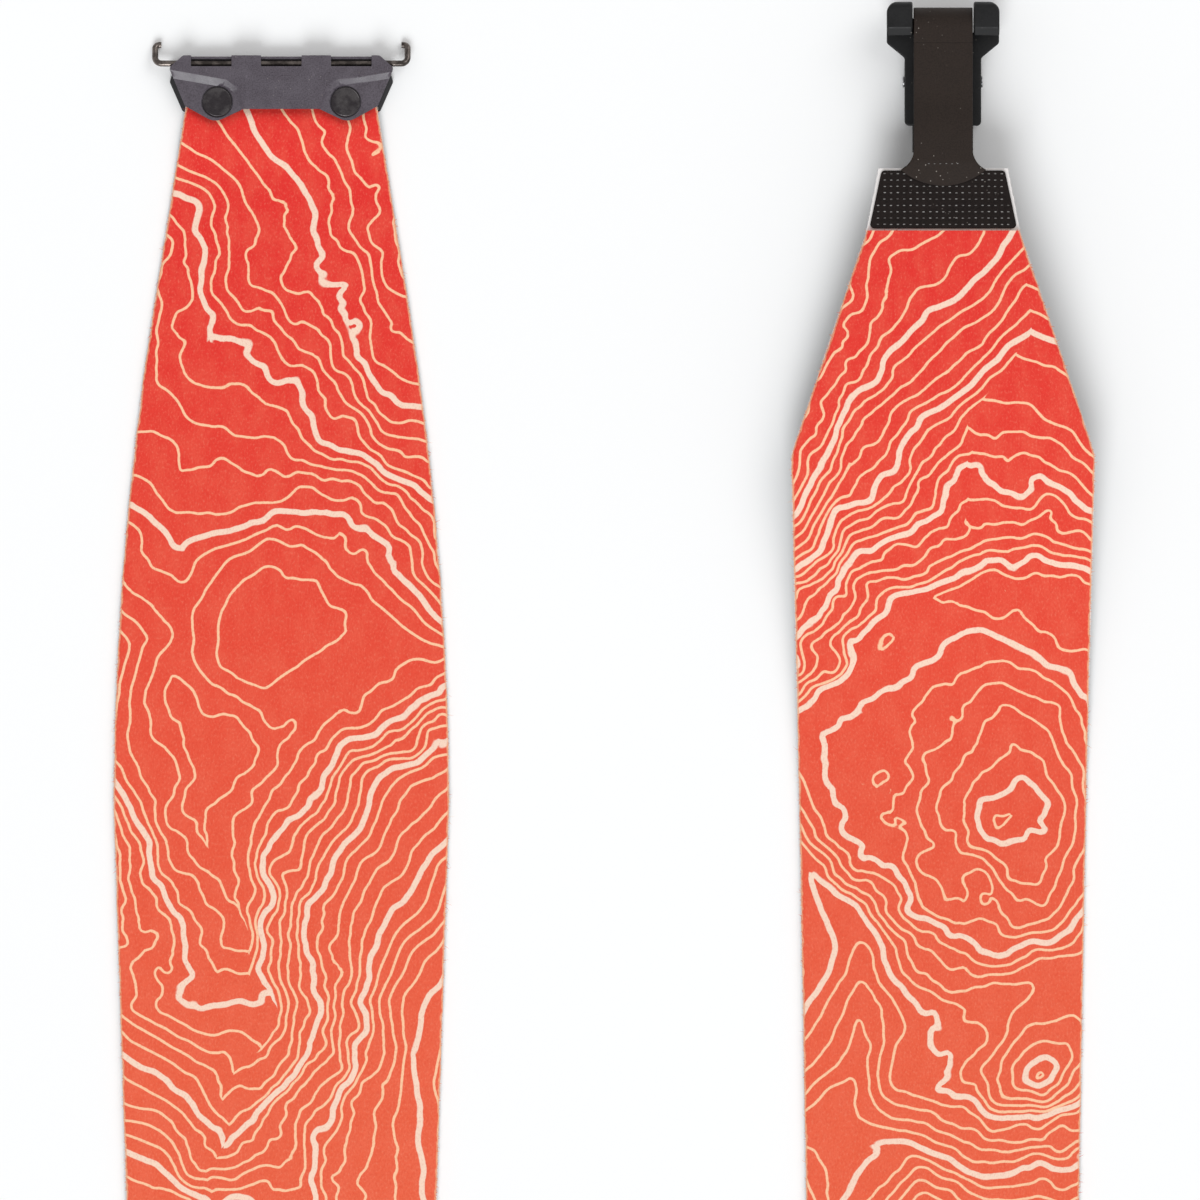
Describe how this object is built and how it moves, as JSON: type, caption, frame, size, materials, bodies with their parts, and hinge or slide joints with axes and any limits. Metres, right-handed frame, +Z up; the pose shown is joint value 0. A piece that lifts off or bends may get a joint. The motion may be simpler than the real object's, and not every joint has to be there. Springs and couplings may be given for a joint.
{
  "type": "pair of ski climbing skins",
  "caption": "Pair of plush-faced ski climbing skins lying side by side, each with a wire tip hook in a riveted plate and a rubber tail strap with a cam clip.",
  "frame": {"origin": "centre of the pair's footprint, on the surface that the glue sides lie on", "axes": "+Z up out of the plush; +Y along the skins, towards the left skin's tip; +X from the left skin to the right skin"},
  "size_m": [0.339, 1.693, 0.0215],
  "materials": {
    "plush": "short directional pile",
    "backing": "woven",
    "membrane": "matt film",
    "glue": "tacky, slightly glossy",
    "plate": "fine moulded",
    "plate_dark": "moulded",
    "rivet": "satin black",
    "wire": "dark drawn wire",
    "patch": "matt",
    "strap": "matt",
    "clip": "fine moulded",
    "steel": "brushed",
    "lever": "fine moulded"
  },
  "bodies": {
    "left_skin_front": {"left_front_plush": "plush", "left_front_backing": "backing", "left_front_membrane": "membrane", "left_front_glue": "glue", "left_tip_top_plate": "plate", "left_tip_bottom_plate": "plate_dark", "left_tip_rivets": "rivet", "left_tip_rivet_backs": "rivet"},
    "left_tip_wire": {"left_tip_wire": "wire"},
    "left_skin_rear": {"left_rear_plush": "plush", "left_rear_backing": "backing", "left_rear_membrane": "membrane", "left_rear_glue": "glue", "left_tail_patch": "patch", "left_strap_root": "strap"},
    "left_tail_strap": {"left_strap_run": "strap"},
    "left_tail_clip": {"left_clip_body": "clip", "left_cam_pin": "steel", "left_strap_loop": "strap"},
    "left_cam_lever": {"left_cam_lever": "lever"},
    "right_skin_front": {"right_front_plush": "plush", "right_front_backing": "backing", "right_front_membrane": "membrane", "right_front_glue": "glue", "right_tip_top_plate": "plate", "right_tip_bottom_plate": "plate_dark", "right_tip_rivets": "rivet", "right_tip_rivet_backs": "rivet"},
    "right_tip_wire": {"right_tip_wire": "wire"},
    "right_skin_rear": {"right_rear_plush": "plush", "right_rear_backing": "backing", "right_rear_membrane": "membrane", "right_rear_glue": "glue", "right_tail_patch": "patch", "right_strap_root": "strap"},
    "right_tail_strap": {"right_strap_run": "strap"},
    "right_tail_clip": {"right_clip_body": "clip", "right_cam_pin": "steel", "right_strap_loop": "strap"},
    "right_cam_lever": {"right_cam_lever": "lever"}
  },
  "joints": [
    {"name": "left_fold", "type": "hinge", "parent": "left_skin_front", "child": "left_skin_rear", "pos_m": [-0.1124, 0, -0.001], "axis": [1, 0, 0], "range_deg": [0, 179.8]},
    {"name": "left_tip_wire_turn", "type": "hinge", "parent": "left_skin_front", "child": "left_tip_wire", "pos_m": [-0.1124, 0.82575, 0.0038], "axis": [1, 0, 0], "continuous": true},
    {"name": "left_strap_flex", "type": "hinge", "parent": "left_skin_rear", "child": "left_tail_strap", "pos_m": [-0.1124, -0.7965, 0.0207], "axis": [1, 0, 0], "range_deg": [-75, 0]},
    {"name": "left_strap_stretch", "type": "slide", "parent": "left_tail_strap", "child": "left_tail_clip", "axis": [0, -1, 0], "range_m": [0, 0.012], "stiffness_N_per_m": 1500, "deforming": ["left_strap_run"]},
    {"name": "left_cam_turn", "type": "hinge", "parent": "left_tail_clip", "child": "left_cam_lever", "pos_m": [-0.1124, -0.8195, 0.0032], "axis": [1, 0, 0], "range_deg": [-110, 0]},
    {"name": "right_fold", "type": "hinge", "parent": "right_skin_front", "child": "right_skin_rear", "pos_m": [0.1124, 0, -0.001], "axis": [-1, 0, 0], "range_deg": [0, 179.8]},
    {"name": "right_tip_wire_turn", "type": "hinge", "parent": "right_skin_front", "child": "right_tip_wire", "pos_m": [0.1124, -0.82575, 0.0038], "axis": [-1, 0, 0], "continuous": true},
    {"name": "right_strap_flex", "type": "hinge", "parent": "right_skin_rear", "child": "right_tail_strap", "pos_m": [0.1124, 0.7965, 0.0207], "axis": [-1, 0, 0], "range_deg": [-75, 0]},
    {"name": "right_strap_stretch", "type": "slide", "parent": "right_tail_strap", "child": "right_tail_clip", "axis": [0, 1, 0], "range_m": [0, 0.012], "stiffness_N_per_m": 1500, "deforming": ["right_strap_run"]},
    {"name": "right_cam_turn", "type": "hinge", "parent": "right_tail_clip", "child": "right_cam_lever", "pos_m": [0.1124, 0.8195, 0.0032], "axis": [-1, 0, 0], "range_deg": [-110, 0]},
    {"name": "right_skin_place", "type": "slide", "parent": "left_skin_front", "child": "right_skin_front", "axis": [0, 0, 1], "range_m": [0, 0.15]}
  ]
}
